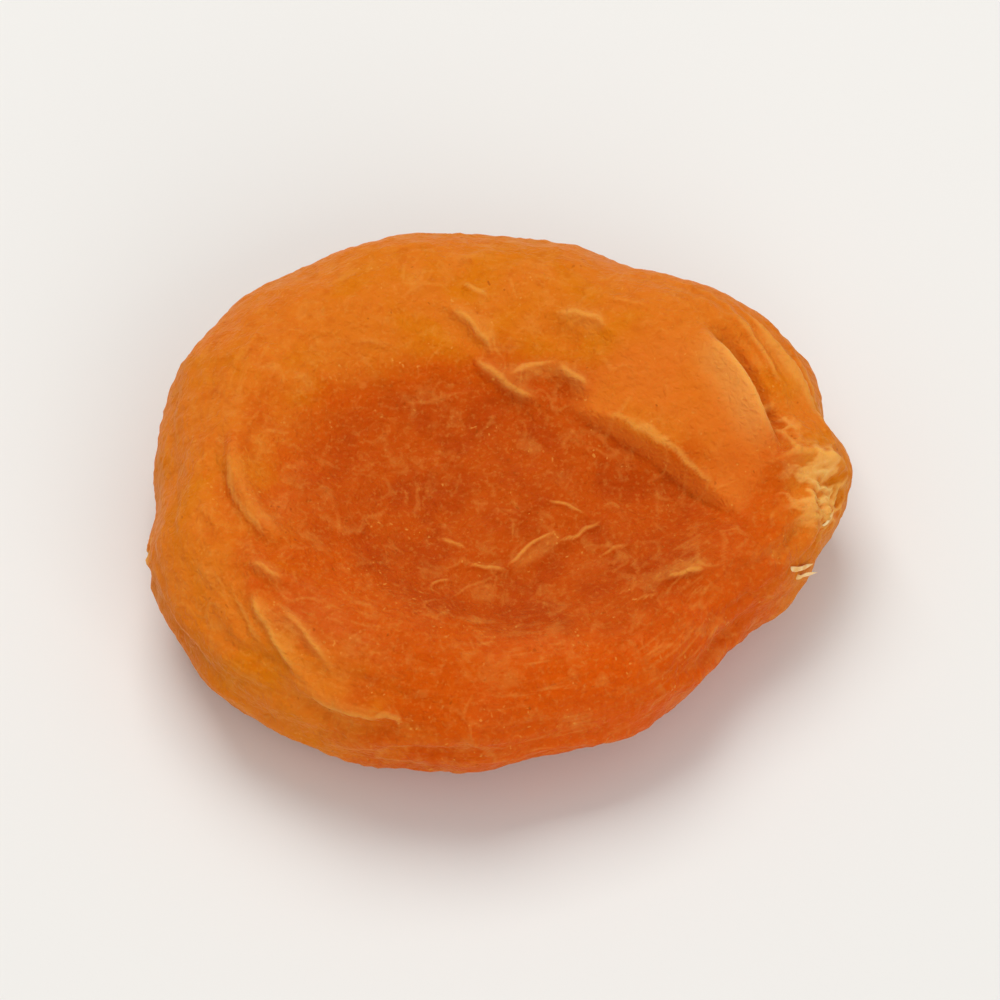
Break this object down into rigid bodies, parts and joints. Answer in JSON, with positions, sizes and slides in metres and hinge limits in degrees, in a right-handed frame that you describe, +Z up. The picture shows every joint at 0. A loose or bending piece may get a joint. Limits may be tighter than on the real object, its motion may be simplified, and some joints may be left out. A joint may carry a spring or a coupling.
{
  "type": "dried apricot",
  "caption": "Whole stoned dried apricot lying flat: a thick wrinkled rim round a sunken face, with the slit its stone came out of.",
  "frame": {"origin": "middle of the fruit's footprint, on the surface that it lies on", "axes": "+X along the longest way across, towards the torn tip; +Z up, through the sunken face"},
  "size_m": [0.0422, 0.0366, 0.0124],
  "materials": {
    "flesh": "satin"
  },
  "bodies": {
    "root": {"apricot": "flesh"}
  },
  "joints": []
}
